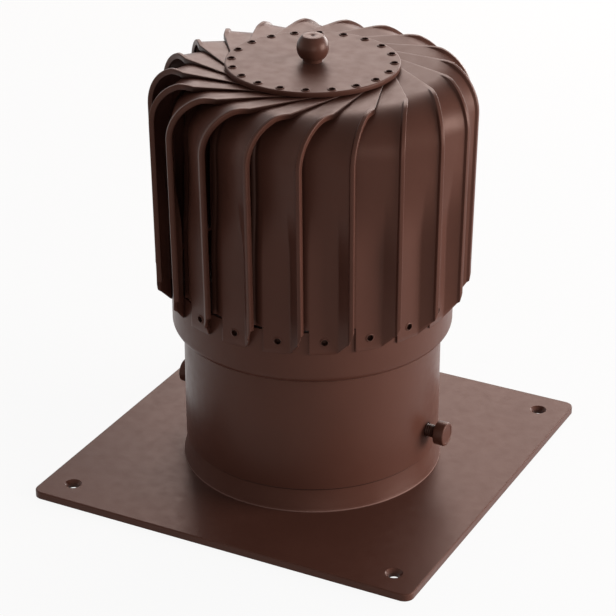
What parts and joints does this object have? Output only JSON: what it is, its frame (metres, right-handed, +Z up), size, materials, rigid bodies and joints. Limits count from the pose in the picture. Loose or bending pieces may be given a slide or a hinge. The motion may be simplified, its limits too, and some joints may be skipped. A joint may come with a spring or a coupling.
{
  "type": "rotating chimney cowl",
  "caption": "Bladed cowl for a chimney top, turning on a ball-bearing axle above a round neck, with a square plate to screw down.",
  "frame": {"origin": "centre of the base plate's underside", "axes": "+Z up along the rotor's axle, X and Y along the plate's edges, the thumb screws along X"},
  "size_m": [0.25, 0.25, 0.2734],
  "materials": {
    "plate_coat": "satin powder coat",
    "neck_coat": "satin powder coat",
    "bridge_steel": "plain sheet",
    "housing_steel": "turned",
    "bearing_steel": "polished",
    "axle_steel": "turned and ground",
    "nut_steel": "plain",
    "stud_steel": "plain thread",
    "head_coat": "satin powder coat",
    "disc_coat": "satin powder coat",
    "hub_coat": "satin powder coat",
    "knob_coat": "satin powder coat",
    "ring_coat": "satin powder coat",
    "rivet_coat": "satin powder coat",
    "blade_coat": "satin powder coat"
  },
  "bodies": {
    "base": {"base_plate": "plate_coat", "base_collar": "neck_coat", "neck_sleeve": "neck_coat", "lower_bridge": "bridge_steel", "upper_bridge": "bridge_steel", "bearing_housing": "housing_steel", "lower_bearing_outer_race": "bearing_steel", "upper_bearing_outer_race": "bearing_steel", "right_weld_nut": "nut_steel", "left_weld_nut": "nut_steel"},
    "rotor": {"axle": "axle_steel", "axle_snap_ring": "axle_steel", "lower_bearing_inner_race": "bearing_steel", "upper_bearing_inner_race": "bearing_steel", "hub_plate": "hub_coat", "hub_spacer": "hub_coat", "top_disc": "disc_coat", "ball_knob": "knob_coat", "drum_ring": "ring_coat", "disc_rivets": "rivet_coat", "ring_rivets": "rivet_coat", "blade_01": "blade_coat", "blade_02": "blade_coat", "blade_03": "blade_coat", "blade_04": "blade_coat", "blade_05": "blade_coat", "blade_06": "blade_coat", "blade_07": "blade_coat", "blade_08": "blade_coat", "blade_09": "blade_coat", "blade_10": "blade_coat", "blade_11": "blade_coat", "blade_12": "blade_coat", "blade_13": "blade_coat", "blade_14": "blade_coat", "blade_15": "blade_coat", "blade_16": "blade_coat", "blade_17": "blade_coat", "blade_18": "blade_coat", "blade_19": "blade_coat", "blade_20": "blade_coat"},
    "lower_balls": {"lower_bearing_balls": "bearing_steel"},
    "upper_balls": {"upper_bearing_balls": "bearing_steel"},
    "right_stud": {"right_screw_stud": "stud_steel"},
    "right_head": {"right_screw_head": "head_coat"},
    "left_stud": {"left_screw_stud": "stud_steel"},
    "left_head": {"left_screw_head": "head_coat"}
  },
  "joints": [
    {"name": "rotor_spin", "type": "hinge", "parent": "base", "child": "rotor", "pos_m": [0, 0, 0.1], "axis": [0, 0, 1], "continuous": true},
    {"name": "lower_balls_roll", "type": "hinge", "parent": "base", "child": "lower_balls", "pos_m": [0, 0, 0.07], "axis": [0, 0, 1], "continuous": true},
    {"name": "upper_balls_roll", "type": "hinge", "parent": "base", "child": "upper_balls", "pos_m": [0, 0, 0.108], "axis": [0, 0, 1], "continuous": true},
    {"name": "right_screw_travel", "type": "slide", "parent": "base", "child": "right_stud", "axis": [1, 0, 0], "range_m": [-0.0056, 0.009]},
    {"name": "right_screw_turn", "type": "hinge", "parent": "right_stud", "child": "right_head", "pos_m": [0.0875, 0, 0.036], "axis": [1, 0, 0], "range_deg": [-1612.8, 2592]},
    {"name": "left_screw_travel", "type": "slide", "parent": "base", "child": "left_stud", "axis": [-1, 0, 0], "range_m": [-0.0056, 0.009]},
    {"name": "left_screw_turn", "type": "hinge", "parent": "left_stud", "child": "left_head", "pos_m": [-0.0875, 0, 0.036], "axis": [-1, 0, 0], "range_deg": [-1612.8, 2592]}
  ],
  "couplings": [
    {"joint": "lower_balls_roll", "follows": "rotor_spin", "ratio": 0.3726},
    {"joint": "upper_balls_roll", "follows": "rotor_spin", "ratio": 0.3726},
    {"joint": "right_screw_turn", "follows": "right_screw_travel", "rad_per_m": 5026.5},
    {"joint": "left_screw_turn", "follows": "left_screw_travel", "rad_per_m": 5026.5}
  ]
}
